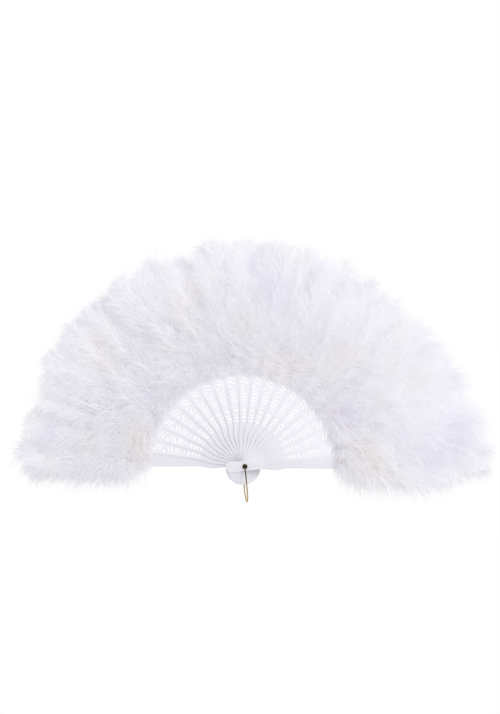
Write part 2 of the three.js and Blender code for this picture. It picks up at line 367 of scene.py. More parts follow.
wire_tree = bpy.data.node_groups.new("bent_wire", "GeometryNodeTree")
wire_tree.interface.new_socket("Line", in_out="INPUT", socket_type="NodeSocketGeometry")
wire_tree.interface.new_socket("Wire radius", in_out="INPUT", socket_type="NodeSocketFloat")
wire_tree.interface.new_socket("Metal", in_out="INPUT", socket_type="NodeSocketMaterial")
wire_tree.interface.new_socket("Wire", in_out="OUTPUT", socket_type="NodeSocketGeometry")
wire_sizes = add_node(wire_tree, "NodeGroupInput").outputs
path = add_node(wire_tree, "GeometryNodeMeshToCurve", {"Mesh": wire_sizes["Line"]})
section = add_node(
    wire_tree,
    "GeometryNodeCurvePrimitiveCircle",
    {"Resolution": 16, "Radius": wire_sizes["Wire radius"]},
)
wire = add_node(
    wire_tree,
    "GeometryNodeCurveToMesh",
    {"Curve": path.outputs["Curve"], "Profile Curve": section.outputs["Curve"], "Fill Caps": True},
)
solid_wire = add_node(wire_tree, "GeometryNodeRealizeInstances", {"Geometry": wire.outputs["Mesh"]})
finished_wire = add_node(
    wire_tree,
    "GeometryNodeSetMaterial",
    {"Geometry": solid_wire.outputs["Geometry"], "Material": wire_sizes["Metal"]},
)
add_node(wire_tree, "NodeGroupOutput", {"Wire": finished_wire.outputs["Geometry"]})


def grown(name, line, tree, sizes):
    """Runs a geometry tree on a mesh of lines and gives the result as an object with a plain mesh."""
    piece = bpy.data.objects.new(name, line)
    bpy.context.scene.collection.objects.link(piece)
    growth = piece.modifiers.new("growth", "NODES")
    growth.node_group = tree
    for socket in tree.interface.items_tree:
        if socket.in_out == "INPUT" and socket.name in sizes:
            growth[socket.identifier] = sizes[socket.name]
    depsgraph = bpy.context.evaluated_depsgraph_get()
    mesh = bpy.data.meshes.new_from_object(
        piece.evaluated_get(depsgraph),
        preserve_all_data_layers=True,
        depsgraph=depsgraph,
    )
    piece.modifiers.remove(growth)
    piece.data = mesh
    mesh.name = name
    mesh.shade_smooth()
    bpy.data.meshes.remove(line)
    return piece


bail = grown("bent_bail", line_mesh, wire_tree, {"Wire radius": wire_radius, "Metal": brass_wire})
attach(bail, "wire_bail")
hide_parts("wire_bail")


# The linking ribbon: a 4 mm band of white satin, glued flat behind each rib so that the sticks stop evenly.
# It is hidden in the down; in the real fan each span gathers beside its rib as the fan closes, but here
# each span is one stiff piece that moves with the first of its two ribs.
spread = math.radians(174)
pitch = spread / last_layer
layer_step = 0.0011
guard_depth = 0.0114
stick_half_thickness = 0.0004
guard_half_thickness = 0.0008
ribbon_from = 0.1095
ribbon_width = 0.004
ribbon_thickness = 0.0003
ribbon_gap = 0.00045
rib_half_angle = 0.025
span_steps = 10
drawn_float = 0.0005
waves_per_unit = 20


def outward(layer, turn=0.0):
    """The direction that a layer's stick points in, turned on towards the next layer."""
    angle = math.pi / 2 + spread / 2 - layer * pitch - turn
    return Vector((math.cos(angle), 0, math.sin(angle)))


def layer_depth(layer):
    """The middle of a layer along Y. The rear guard is layer 0, at the back."""
    if layer == 0:
        return guard_depth
    if layer == last_layer:
        return -guard_depth
    return (last_layer / 2 - layer) * layer_step


def back_of(layer):
    """The plane behind a rib in which the ribbon lies."""
    half_thickness = guard_half_thickness if layer in (0, last_layer) else stick_half_thickness
    return layer_depth(layer) + half_thickness + ribbon_gap


satin = bpy.data.materials.new("satin_ribbon")
satin.use_nodes = True
tree = satin.node_tree
shader = tree.nodes["Principled BSDF"]
place = add_node(tree, "ShaderNodeTexCoord").outputs["Object"]
# Satin floats lie 0.2 mm apart and are drawn at 0.5 mm so that they show.
floats = add_node(
    tree,
    "ShaderNodeTexWave",
    {"Vector": place, "Scale": 1 / (drawn_float * waves_per_unit), "Distortion": 0.6, "Detail": 1.0},
    bands_direction="DIAGONAL",
)
satin_colour = add_node(
    tree,
    "ShaderNodeMix",
    {0: floats.outputs["Fac"], 6: linear("#E6E3EA"), 7: linear("#F5F3F8")},
    data_type="RGBA",
)
tree.links.new(satin_colour.outputs[2], shader.inputs["Base Color"])
shader.inputs["Roughness"].default_value = 0.42
shader.inputs["Sheen Weight"].default_value = 0.3

for layer in range(last_layer):
    stations = [(-rib_half_angle if layer == 0 else 0.0, 0.0)]
    for step in range(span_steps + 1):
        share = step / span_steps
        rise = share * share * (3 - 2 * share)
        stations.append((rib_half_angle + (pitch - 2 * rib_half_angle) * share, rise))
    stations.append((pitch + rib_half_angle if layer == last_layer - 1 else pitch, 1.0))
    vertices = []
    for turn, rise in stations:
        back = back_of(layer) + (back_of(layer + 1) - back_of(layer)) * rise
        for radius, depth in (
            (ribbon_from, back),
            (ribbon_from + ribbon_width, back),
            (ribbon_from + ribbon_width, back + ribbon_thickness),
            (ribbon_from, back + ribbon_thickness),
        ):
            vertices.append(outward(layer, turn) * radius + Vector((0, depth, 0)))
    faces = [(3, 2, 1, 0)]
    for station in range(len(stations) - 1):
        first = 4 * station
        for corner in range(4):
            after = (corner + 1) % 4
            faces.append((first + corner, first + after, first + 4 + after, first + 4 + corner))
    final = 4 * (len(stations) - 1)
    faces.append((final, final + 1, final + 2, final + 3))
    span_mesh = bpy.data.meshes.new(f"ribbon_span_{layer:02d}")
    span_mesh.from_pydata(vertices, [], faces)
    span_mesh.materials.append(satin)
    span = bpy.data.objects.new(f"ribbon_span_{layer:02d}", span_mesh)
    bpy.context.scene.collection.objects.link(span)
    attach(span, body_names[layer])
    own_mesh(span)
    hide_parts("linking_ribbon")


# The plumes: white turkey marabou, the long soft underfeathers, tied quill first to each rib in a bunch.
# Every quill carries thousands of limp barbs that mat into tufts, so the fan's edge is a soft fringe.
shade_top = 0.93
barb_strip = 0.012
shaft_strip = 0.04
marabou_down = bpy.data.materials.new("marabou_down")
marabou_down.use_nodes = True
tree = marabou_down.node_tree
shader = tree.nodes["Principled BSDF"]
strand = add_node(tree, "ShaderNodeUVMap", uv_map="OFBake").outputs["UV"]
strand_parts = add_node(tree, "ShaderNodeSeparateXYZ", {"Vector": strand})
# Barbs are painted a shade greyer at their roots, deep in the down where shade falls, and paler at their
# tips, and bleaching leaves faint lavender grey and creamy patches.
greyed = add_node(
    tree,
    "ShaderNodeMapRange",
    {"Value": strand_parts.outputs["Y"], "From Min": 0.0, "From Max": 0.5, "To Min": 1.0, "To Max": 0.0},
)
creamy = add_node(
    tree,
    "ShaderNodeMapRange",
    {"Value": strand_parts.outputs["Y"], "From Min": 0.5, "From Max": shade_top},
)
# Painted shade: each barb's root end is a touch greyer than its tip.
down_colour = add_node(
    tree,
    "ShaderNodeMix",
    {0: strand_parts.outputs["X"], 6: linear("#FEFEFF"), 7: linear("#FFFFFF")},
    data_type="RGBA",
)
for patch, patch_colour in ((greyed, "#FCFBFD"), (creamy, "#FEFDFC")):
    down_colour = add_node(
        tree,
        "ShaderNodeMix",
        {0: patch.outputs["Result"], 6: down_colour.outputs[2], 7: linear(patch_colour)},
        data_type="RGBA",
    )
tree.links.new(down_colour.outputs[2], shader.inputs["Base Color"])
shader.inputs["Roughness"].default_value = 0.85
shader.inputs["Specular IOR Level"].default_value = 0.1

quill_horn = bpy.data.materials.new("quill_horn")
quill_horn.use_nodes = True
tree = quill_horn.node_tree
shader = tree.nodes["Principled BSDF"]
shaft_parts = add_node(
    tree,
    "ShaderNodeSeparateXYZ",
    {"Vector": add_node(tree, "ShaderNodeUVMap", uv_map="OFBake").outputs["UV"]},
)
# A quill is horn: waxy and pinkish beige where it was in the skin, and white along the rest.
horn_colour = add_node(
    tree,
    "ShaderNodeMix",
    {0: shaft_parts.outputs["X"], 6: linear("#FDFCFD"), 7: linear("#E2D6D1")},
    data_type="RGBA",
)
tree.links.new(horn_colour.outputs[2], shader.inputs["Base Color"])
shader.inputs["Roughness"].default_value = 0.28

down_tree = bpy.data.node_groups.new("marabou_plume", "GeometryNodeTree")
for name, kind in (
    ("Quills", "NodeSocketGeometry"),
    ("Barb spacing", "NodeSocketFloat"),
    ("Root share", "NodeSocketFloat"),
    ("Barb length", "NodeSocketFloat"),
    ("Barb radius", "NodeSocketFloat"),
    ("Root lean", "NodeSocketFloat"),
    ("Tip lean", "NodeSocketFloat"),
    ("Depth share", "NodeSocketFloat"),
    ("Curl", "NodeSocketFloat"),
    ("Sag", "NodeSocketFloat"),
    ("Plume root", "NodeSocketFloat"),
    ("Plume reach", "NodeSocketFloat"),
    ("Plume depth", "NodeSocketFloat"),
    ("Rib depth", "NodeSocketFloat"),
    ("Shaft radius", "NodeSocketFloat"),
    ("Seed", "NodeSocketInt"),
    ("Down", "NodeSocketMaterial"),
    ("Horn", "NodeSocketMaterial"),
):
    down_tree.interface.new_socket(name, in_out="INPUT", socket_type=kind)
down_tree.interface.new_socket("Plume", in_out="OUTPUT", socket_type="NodeSocketGeometry")
size = add_node(down_tree, "NodeGroupInput").outputs
draws = []
draw_count = 10
seed_step = 1000.0
for draw in range(draw_count):
    draw_seed = add_node(
        down_tree, "ShaderNodeMath", {0: size["Seed"], 1: seed_step * draw}, operation="ADD"
    )
    draws.append(draw_seed.outputs[0])
# These values go with the quills and the barbs from step to step.
attribute_kinds = {
    "stoutness": "FLOAT",
    "in_skin": "FLOAT",
    "on_quill": "FLOAT",
    "quill_way": "FLOAT_VECTOR",
    "quill_number": "INT",
    "barb_root": "FLOAT_VECTOR",
    "barb_reach": "FLOAT_VECTOR",
    "barb_bend": "FLOAT_VECTOR",
    "barb_shade": "FLOAT",
    "along": "FLOAT",
    "around": "FLOAT",
}
attribute = {}
for name, kind in attribute_kinds.items():
    reader = add_node(down_tree, "GeometryNodeInputNamedAttribute", {"Name": name}, data_type=kind)
    attribute[name] = reader.outputs["Attribute"]
on_quill = attribute["on_quill"]
quill_way = attribute["quill_way"]
quills = add_node(down_tree, "GeometryNodeMeshToCurve", {"Mesh": size["Quills"]})

# Barbs start at even steps along each quill, and each keeps its place on it and the quill's direction.
steps = add_node(
    down_tree,
    "GeometryNodeResampleCurve",
    {"Curve": quills.outputs["Curve"], "Length": size["Barb spacing"]},
    mode="LENGTH",
)
starts = steps.outputs["Curve"]
for name, source in (
    ("on_quill", add_node(down_tree, "GeometryNodeSplineParameter").outputs["Factor"]),
    ("quill_way", add_node(down_tree, "GeometryNodeInputTangent").outputs["Tangent"]),
    ("quill_number", add_node(down_tree, "GeometryNodeCurveOfPoint").outputs["Curve Index"]),
):
    kept = add_node(
        down_tree,
        "GeometryNodeStoreNamedAttribute",
        {"Geometry": starts, "Name": name, "Value": source},
        data_type=attribute_kinds[name],
        domain="POINT",
    )
    starts = kept.outputs["Geometry"]
roots = add_node(down_tree, "GeometryNodeCurveToPoints", {"Curve": starts}, mode="EVALUATED")

# The plume widens towards its tip, so the quill's root carries only a share of the barbs of its tip.
# A stout quill has lost its barbs.
thickness = add_node(
    down_tree,
    "ShaderNodeMapRange",
    {"Value": on_quill, "From Min": 0.0, "From Max": 0.8, "To Min": size["Root share"], "To Max": 1.0},
)
stoutest_feathered = 1.5
feathered = add_node(
    down_tree,
    "ShaderNodeMath",
    {0: attribute["stoutness"], 1: stoutest_feathered},
    operation="LESS_THAN",
)
thickness = add_node(
    down_tree,
    "ShaderNodeMath",
    {0: thickness.outputs["Result"], 1: feathered.outputs[0]},
    operation="MULTIPLY",
)
thinning = add_node(down_tree, "FunctionNodeRandomValue", {2: 0.0, 3: 1.0, "Seed": draws[8]})
missing = add_node(
    down_tree,
    "ShaderNodeMath",
    {0: thinning.outputs[1], 1: thickness.outputs[0]},
    operation="GREATER_THAN",
)
roots = add_node(
    down_tree,
    "GeometryNodeDeleteGeometry",
    {"Geometry": roots.outputs["Points"], "Selection": missing.outputs[0]},
    domain="POINT",
)

# Barbs mat into tufts: the same stretch of quill holds six tufts, each with its own side, lean and length.
# Inputs 2 and 3 of a random value are its least and its most.
tufts_round = 6
stretches = 18
tuft_lean_most = 0.15
tuft_sizes = (0.72, 1.12)
barb_turn_most = 1.5
barb_lean_most = 0.4
barb_sizes = (0.55, 1.0)
barb_tone_most = 0.12
bleached_patch = 0.045
swathe = 0.03
drift_shares = (1.0, 0.7, 1.0)
downwards = (0, 0, -1)
stretch = add_node(down_tree, "ShaderNodeMath", {0: on_quill, 1: float(stretches)}, operation="MULTIPLY")
stretch = add_node(down_tree, "ShaderNodeMath", {0: stretch.outputs[0]}, operation="FLOOR")
stretch = add_node(
    down_tree,
    "ShaderNodeMath",
    {0: attribute["quill_number"], 1: float(stretches + 1), 2: stretch.outputs[0]},
    operation="MULTIPLY_ADD",
)
tuft_pick = add_node(
    down_tree,
    "FunctionNodeRandomValue",
    {4: 0, 5: tufts_round - 1, "Seed": draws[0]},
    data_type="INT",
)
tuft = add_node(
    down_tree,
    "ShaderNodeMath",
    {0: stretch.outputs[0], 1: float(tufts_round), 2: tuft_pick.outputs[2]},
    operation="MULTIPLY_ADD",
)
tuft_turn = add_node(
    down_tree,
    "FunctionNodeRandomValue",
    {2: 0.0, 3: 2 * math.pi, "ID": tuft.outputs[0], "Seed": draws[1]},
)
tuft_lean = add_node(
    down_tree,
    "FunctionNodeRandomValue",
    {2: -tuft_lean_most, 3: tuft_lean_most, "ID": tuft.outputs[0], "Seed": draws[2]},
)
tuft_size = add_node(
    down_tree,
    "FunctionNodeRandomValue",
    {2: tuft_sizes[0], 3: tuft_sizes[1], "ID": tuft.outputs[0], "Seed": draws[3]},
)
barb_turn = add_node(
    down_tree, "FunctionNodeRandomValue", {2: -barb_turn_most, 3: barb_turn_most, "Seed": draws[4]}
)
barb_lean = add_node(
    down_tree, "FunctionNodeRandomValue", {2: -barb_lean_most, 3: barb_lean_most, "Seed": draws[5]}
)
barb_size = add_node(
    down_tree, "FunctionNodeRandomValue", {2: barb_sizes[0], 3: barb_sizes[1], "Seed": draws[6]}
)
barb_tone = add_node(
    down_tree, "FunctionNodeRandomValue", {2: -barb_tone_most, 3: barb_tone_most, "Seed": draws[7]}
)
bleaching = add_node(
    down_tree,
    "ShaderNodeTexNoise",
    {
        "Vector": add_node(down_tree, "GeometryNodeInputPosition").outputs["Position"],
        "Scale": 1 / bleached_patch,
        "Detail": 1.0,
    },
)
bleaching = add_node(
    down_tree,
    "ShaderNodeMapRange",
    {"Value": bleaching.outputs["Fac"], "From Min": 0.3, "From Max": 0.7, "To Min": 0.05, "To Max": 0.88},
)
barb_shade = add_node(
    down_tree,
    "ShaderNodeMath",
    {0: bleaching.outputs["Result"], 1: barb_tone.outputs[1]},
    operation="ADD",
    use_clamp=True,
)
barb_shade = add_node(
    down_tree, "ShaderNodeMath", {0: barb_shade.outputs[0], 1: shade_top}, operation="MINIMUM"
)

# A barb leaves its quill sideways, flatter in depth than across. At the root it lies back over the blade's
# end, and further along it leans to the tip.
turn = add_node(
    down_tree, "ShaderNodeMath", {0: tuft_turn.outputs[1], 1: barb_turn.outputs[1]}, operation="ADD"
).outputs[0]
across_quill = add_node(
    down_tree, "ShaderNodeVectorMath", {0: quill_way, 1: (0, 1, 0)}, operation="CROSS_PRODUCT"
)
across_part = add_node(
    down_tree,
    "ShaderNodeVectorMath",
    {
        0: across_quill.outputs["Vector"],
        "Scale": add_node(down_tree, "ShaderNodeMath", {0: turn}, operation="COSINE").outputs[0],
    },
    operation="SCALE",
)
depth_amount = add_node(
    down_tree,
    "ShaderNodeMath",
    {
        0: add_node(down_tree, "ShaderNodeMath", {0: turn}, operation="SINE").outputs[0],
        1: size["Depth share"],
    },
    operation="MULTIPLY",
)
depth_part = add_node(down_tree, "ShaderNodeCombineXYZ", {"Y": depth_amount.outputs[0]})
side_way = add_node(
    down_tree,
    "ShaderNodeVectorMath",
    {0: across_part.outputs["Vector"], 1: depth_part.outputs["Vector"]},
    operation="ADD",
).outputs["Vector"]
to_tip = add_node(down_tree, "ShaderNodeMath", {0: 1.0, 1: on_quill}, operation="SUBTRACT")
rootward_power = 4.5
rootward = add_node(
    down_tree, "ShaderNodeMath", {0: to_tip.outputs[0], 1: rootward_power}, operation="POWER"
)
lean = add_node(
    down_tree,
    "ShaderNodeMapRange",
    {"Value": rootward.outputs[0], "To Min": size["Tip lean"], "To Max": size["Root lean"]},
)
for source in (tuft_lean.outputs[1], barb_lean.outputs[1]):
    lean = add_node(down_tree, "ShaderNodeMath", {0: lean.outputs[0], 1: source}, operation="ADD")
forward_part = add_node(
    down_tree,
    "ShaderNodeVectorMath",
    {
        0: quill_way,
        "Scale": add_node(down_tree, "ShaderNodeMath", {0: lean.outputs[0]}, operation="COSINE").outputs[0],
    },
    operation="SCALE",
)
side_part = add_node(
    down_tree,
    "ShaderNodeVectorMath",
    {
        0: side_way,
        "Scale": add_node(down_tree, "ShaderNodeMath", {0: lean.outputs[0]}, operation="SINE").outputs[0],
    },
    operation="SCALE",
)
start_way = add_node(
    down_tree,
    "ShaderNodeVectorMath",
    {0: forward_part.outputs["Vector"], 1: side_part.outputs["Vector"]},
    operation="ADD",
)

# Barbs are a little short at the root of the quill, full by a fifth of it and half as long at its tip.
filling_out = add_node(
    down_tree,
    "ShaderNodeMapRange",
    {"Value": on_quill, "From Min": 0.0, "From Max": 0.2, "To Min": 0.8, "To Max": 1.0},
)
falling_off = add_node(
    down_tree,
    "ShaderNodeMapRange",
    {"Value": on_quill, "From Min": 0.5, "From Max": 1.0, "To Min": 1.0, "To Max": 0.55},
)
barb_length = add_node(
    down_tree,
    "ShaderNodeMath",
    {0: filling_out.outputs["Result"], 1: falling_off.outputs["Result"]},
    operation="MINIMUM",
)
for source in (size["Barb length"], tuft_size.outputs[1], barb_size.outputs[1]):
    barb_length = add_node(
        down_tree, "ShaderNodeMath", {0: barb_length.outputs[0], 1: source}, operation="MULTIPLY"
    )
reach = add_node(
    down_tree,
    "ShaderNodeVectorMath",
    {0: start_way.outputs["Vector"], "Scale": barb_length.outputs[0]},
    operation="SCALE",
)

# Limp barbs curl towards the quill's tip, hang down across it under their own weight, and drift together
# with those around them in swathes of 30 mm.
drift = add_node(
    down_tree,
    "ShaderNodeTexNoise",
    {
        "Vector": add_node(down_tree, "GeometryNodeInputPosition").outputs["Position"],
        "Scale": 1 / swathe,
        "Detail": 1.0,
    },
)
drift = add_node(
    down_tree,
    "ShaderNodeVectorMath",
    {0: drift.outputs["Color"], 1: (0.5, 0.5, 0.5)},
    operation="SUBTRACT",
)
drift = add_node(
    down_tree,
    "ShaderNodeVectorMath",
    {0: drift.outputs["Vector"], 1: drift_shares},
    operation="MULTIPLY",
)
curl_way = add_node(
    down_tree, "ShaderNodeVectorMath", {0: quill_way, 1: side_way}, operation="SUBTRACT"
)
curl = add_node(
    down_tree,
    "ShaderNodeVectorMath",
    {0: curl_way.outputs["Vector"], "Scale": size["Curl"]},
    operation="SCALE",
)
down_quill = add_node(
    down_tree, "ShaderNodeVectorMath", {0: downwards, 1: quill_way}, operation="PROJECT"
)
down_across = add_node(
    down_tree,
    "ShaderNodeVectorMath",
    {0: downwards, 1: down_quill.outputs["Vector"]},
    operation="SUBTRACT",
)
sag = add_node(
    down_tree,
    "ShaderNodeVectorMath",
    {0: down_across.outputs["Vector"], "Scale": size["Sag"]},
    operation="SCALE",
)
bend = curl
for part in (drift, sag):
    bend = add_node(
        down_tree,
        "ShaderNodeVectorMath",
        {0: bend.outputs["Vector"], 1: part.outputs["Vector"]},
        operation="ADD",
    )
bend = add_node(
    down_tree,
    "ShaderNodeVectorMath",
    {0: bend.outputs["Vector"], "Scale": barb_length.outputs[0]},
    operation="SCALE",
)

# Barbs that would pass the plume's outer or inner edge or its thickness are worn shorter, each on its own.
root_place = add_node(down_tree, "GeometryNodeInputPosition").outputs["Position"]
tip_place = root_place
for part in (reach, bend):
    tip_place = add_node(
        down_tree, "ShaderNodeVectorMath", {0: tip_place, 1: part.outputs["Vector"]}, operation="ADD"
    ).outputs["Vector"]
from_rivet = []
from_rib = []
for spot in (root_place, tip_place):
    in_plane = add_node(down_tree, "ShaderNodeVectorMath", {0: spot, 1: fan_plane}, operation="MULTIPLY")
    in_plane = in_plane.outputs["Vector"]
    radius = add_node(down_tree, "ShaderNodeVectorMath", {0: in_plane}, operation="LENGTH")
    from_rivet.append(radius.outputs["Value"])
    depth = add_node(down_tree, "ShaderNodeSeparateXYZ", {"Vector": spot}).outputs["Y"]
    off_rib = add_node(down_tree, "ShaderNodeMath", {0: depth, 1: size["Rib depth"]}, operation="SUBTRACT")
    off_rib = add_node(down_tree, "ShaderNodeMath", {0: off_rib.outputs[0]}, operation="ABSOLUTE")
    from_rib.append(off_rib.outputs[0])
wear = []
for limit, least, most, past, side, (root_out, tip_out) in (
    ("Plume reach", 0.945, 1.015, 0.001, "MAXIMUM", from_rivet),
    ("Plume root", 1.0, 1.06, -0.001, "MINIMUM", from_rivet),
    ("Plume depth", 0.7, 1.0, 0.001, "MAXIMUM", from_rib),
):
    share = add_node(down_tree, "FunctionNodeRandomValue", {2: least, 3: most, "Seed": draws[9]})
    share = share.outputs[1]
    edge = add_node(down_tree, "ShaderNodeMath", {0: size[limit], 1: share}, operation="MULTIPLY")
    past_root = add_node(down_tree, "ShaderNodeMath", {0: root_out, 1: past}, operation="ADD")
    tip_at = add_node(down_tree, "ShaderNodeMath", {0: tip_out, 1: past_root.outputs[0]}, operation=side)
    worn = add_node(
        down_tree,
        "ShaderNodeMapRange",
        {
            "Value": edge.outputs[0],
            "From Min": root_out,
            "From Max": tip_at.outputs[0],
            "To Min": 0.12,
            "To Max": 1.0,
        },
    )
    wear.append(worn.outputs["Result"])
kept_length = wear[0]
for worn_length in wear[1:]:
    kept_length = add_node(
        down_tree, "ShaderNodeMath", {0: kept_length, 1: worn_length}, operation="MINIMUM"
    ).outputs[0]
reach = add_node(
    down_tree, "ShaderNodeVectorMath", {0: reach.outputs["Vector"], "Scale": kept_length}, operation="SCALE"
)
bend = add_node(
    down_tree, "ShaderNodeVectorMath", {0: bend.outputs["Vector"], "Scale": kept_length}, operation="SCALE"
)
starts = roots.outputs["Geometry"]
for name, source in (
    ("barb_root", root_place),
    ("barb_reach", reach.outputs["Vector"]),
    ("barb_bend", bend.outputs["Vector"]),
    ("barb_shade", barb_shade.outputs[0]),
):
    kept = add_node(
        down_tree,
        "GeometryNodeStoreNamedAttribute",
        {"Geometry": starts, "Name": name, "Value": source},
        data_type=attribute_kinds[name],
        domain="POINT",
    )
    starts = kept.outputs["Geometry"]

# One short line of three points stands for each barb, and is then laid along that barb's own curve.
straight = add_node(down_tree, "GeometryNodeCurvePrimitiveLine", {"End": (0, 0, 0.001)})
straight = add_node(
    down_tree, "GeometryNodeResampleCurve", {"Curve": straight.outputs["Curve"], "Count": 3}
)
barbs = add_node(
    down_tree,
    "GeometryNodeInstanceOnPoints",
    {"Points": starts, "Instance": straight.outputs["Curve"]},
)
barbs = add_node(down_tree, "GeometryNodeRealizeInstances", {"Geometry": barbs.outputs["Instances"]})
along = add_node(down_tree, "GeometryNodeSplineParameter").outputs["Factor"]
along_twice = add_node(down_tree, "ShaderNodeMath", {0: along, 1: along}, operation="MULTIPLY")
barb_place = attribute["barb_root"]
for name, share in (("barb_reach", along), ("barb_bend", along_twice.outputs[0])):
    barb_place = add_node(
        down_tree,
        "ShaderNodeVectorMath",
        {0: attribute[name], 1: share, 2: barb_place},
        operation="MULTIPLY_ADD",
    ).outputs["Vector"]
laid = add_node(
    down_tree,
    "GeometryNodeSetPosition",
    {"Geometry": barbs.outputs["Geometry"], "Position": barb_place},
)
laid = add_node(
    down_tree,
    "GeometryNodeStoreNamedAttribute",
    {"Geometry": laid.outputs["Geometry"], "Name": "along", "Value": along},
    data_type="FLOAT",
    domain="POINT",
)
swelling = add_node(
    down_tree,
    "ShaderNodeMapRange",
    {"Value": along, "From Max": 0.5, "To Min": 0.45, "To Max": 1.0},
)
narrowing = add_node(
    down_tree,
    "ShaderNodeMapRange",
    {"Value": along, "From Min": 0.5, "To Min": 1.0, "To Max": 0.0},
)
taper = add_node(
    down_tree,
    "ShaderNodeMath",
    {0: swelling.outputs["Result"], 1: narrowing.outputs["Result"]},
    operation="MINIMUM",
)
section = add_node(
    down_tree,
    "GeometryNodeCurvePrimitiveCircle",
    {"Resolution": 3, "Radius": size["Barb radius"]},
)
section = add_node(
    down_tree,
    "GeometryNodeStoreNamedAttribute",
    {
        "Geometry": section.outputs["Curve"],
        "Name": "around",
        "Value": add_node(down_tree, "GeometryNodeSplineParameter").outputs["Factor"],
    },
    data_type="FLOAT",
    domain="POINT",
)
barb_mesh = add_node(
    down_tree,
    "GeometryNodeCurveToMesh",
    {
        "Curve": laid.outputs["Geometry"],
        "Profile Curve": section.outputs["Geometry"],
        "Scale": taper.outputs[0],
        "Fill Caps": True,
    },
)
# The three corners of a tip meet in one point and are welded. In the chart barbs lie by their shade, each
# in a narrow strip, and the shafts lie in one strip above them.
tip_weld = 0.0000002
barb_mesh = add_node(
    down_tree, "GeometryNodeMergeByDistance", {"Geometry": barb_mesh.outputs["Mesh"], "Distance": tip_weld}
)
shade_across = add_node(
    down_tree,
    "ShaderNodeMath",
    {0: attribute["around"], 1: barb_strip, 2: attribute["barb_shade"]},
    operation="MULTIPLY_ADD",
)
chart = add_node(
    down_tree,
    "ShaderNodeCombineXYZ",
    {"X": attribute["along"], "Y": shade_across.outputs[0]},
)
charted_barbs = add_node(
    down_tree,
    "GeometryNodeStoreNamedAttribute",
    {"Geometry": barb_mesh.outputs["Geometry"], "Name": "OFBake", "Value": chart.outputs["Vector"]},
    data_type="FLOAT2",
    domain="CORNER",
)
finished_barbs = add_node(
    down_tree,
    "GeometryNodeSetMaterial",
    {"Geometry": charted_barbs.outputs["Geometry"], "Material": size["Down"]},
)

# The quill itself: a five sided horn shaft that tapers to a hair.
shaft_along = add_node(down_tree, "GeometryNodeSplineParameter").outputs["Factor"]
shaft_taper = add_node(
    down_tree, "ShaderNodeMapRange", {"Value": shaft_along, "To Min": 1.0, "To Max": 0.2}
)
shaft_taper = add_node(
    down_tree,
    "ShaderNodeMath",
    {0: shaft_taper.outputs["Result"], 1: attribute["stoutness"]},
    operation="MULTIPLY",
)
shaft_section = add_node(
    down_tree,
    "GeometryNodeCurvePrimitiveCircle",
    {"Resolution": 5, "Radius": size["Shaft radius"]},
)
shaft_section = add_node(
    down_tree,
    "GeometryNodeStoreNamedAttribute",
    {
        "Geometry": shaft_section.outputs["Curve"],
        "Name": "around",
        "Value": add_node(down_tree, "GeometryNodeSplineParameter").outputs["Factor"],
    },
    data_type="FLOAT",
    domain="POINT",
)
shafts = add_node(
    down_tree,
    "GeometryNodeCurveToMesh",
    {
        "Curve": quills.outputs["Curve"],
        "Profile Curve": shaft_section.outputs["Geometry"],
        "Scale": shaft_taper.outputs[0],
        "Fill Caps": True,
    },
)
shaft_across = add_node(
    down_tree,
    "ShaderNodeMath",
    {0: attribute["around"], 1: shaft_strip, 2: 1 - shaft_strip},
    operation="MULTIPLY_ADD",
)
shaft_chart = add_node(
    down_tree,
    "ShaderNodeCombineXYZ",
    {"X": attribute["in_skin"], "Y": shaft_across.outputs[0]},
)
charted_shafts = add_node(
    down_tree,
    "GeometryNodeStoreNamedAttribute",
    {"Geometry": shafts.outputs["Mesh"], "Name": "OFBake", "Value": shaft_chart.outputs["Vector"]},
    data_type="FLOAT2",
    domain="CORNER",
)
finished_shafts = add_node(
    down_tree,
    "GeometryNodeSetMaterial",
    {"Geometry": charted_shafts.outputs["Geometry"], "Material": size["Horn"]},
)
joined = add_node(down_tree, "GeometryNodeJoinGeometry")
down_tree.links.new(finished_shafts.outputs["Geometry"], joined.inputs["Geometry"])
down_tree.links.new(finished_barbs.outputs["Geometry"], joined.inputs["Geometry"])
whole = add_node(down_tree, "GeometryNodeRealizeInstances", {"Geometry": joined.outputs["Geometry"]})
for name in attribute_kinds:
    whole = add_node(
        down_tree, "GeometryNodeRemoveAttribute", {"Geometry": whole.outputs["Geometry"], "Name": name}
    )
add_node(down_tree, "NodeGroupOutput", {"Plume": whole.outputs["Geometry"]})

# Each bunch holds long quills that fan out to the plume's edge, and short ones that cover their roots.
# The outermost bunches also hang a skirt below their guard, and plumes reach further towards the front.
# A few stout quills have lost their barbs and lie bare on the down.
plume_root = 0.103
plume_reach = 0.261
middle_plume_reach = 0.265
front_plume_reach = 0.299
middle_from = 6
middle_layers = 4
front_power = 3
fringe = 0.008
root_wander = 0.002
first_seed = 100
quill_points = 9
root_spread = 0.2
quill_flare = 1.4
root_lift = 0.15
skin_end = 0.5
skin_fade = 0.35
long_quills = 8
long_fan = 0.021
long_wander = 0.004
long_start = (0.109, 0.114)
long_wear = (0.002, 0.010)
long_drop = 0.6
long_depth = 0.013
long_bow = 0.007
short_quills = 4
short_fan = 0.012
short_wander = 0.003
short_start = 0.1075
short_end = (0.160, 0.200)
short_depth = (0.008, 0.013)
worn_plumes = {1: 0.004, 2: 0.009, 8: 0.008, 14: 0.004, 15: 0.005, 16: 0.003}
bare_quills = {
    2: [{"start": 0.160, "end": 0.228, "sideways": 0.002, "depth": -0.031, "in_skin": 0.0}],
    19: [{"start": 0.107, "end": 0.160, "sideways": 0.004, "depth": -0.020}],
    last_layer: [{"start": 0.107, "end": 0.145, "sideways": 0.003, "depth": -0.016}],
}
bare_stoutness = 8.0
bare_bow = 0.001
skirt_quills = 8
skirt_start = {0: 0.121, last_layer: 0.112}
skirt_drop = {0: (-0.009, -0.022), last_layer: (0.013, 0.030)}
skirt_first_end = 0.135
skirt_last_end = 0.157
skirt_flare = 0.35
skirt_depth = 0.009
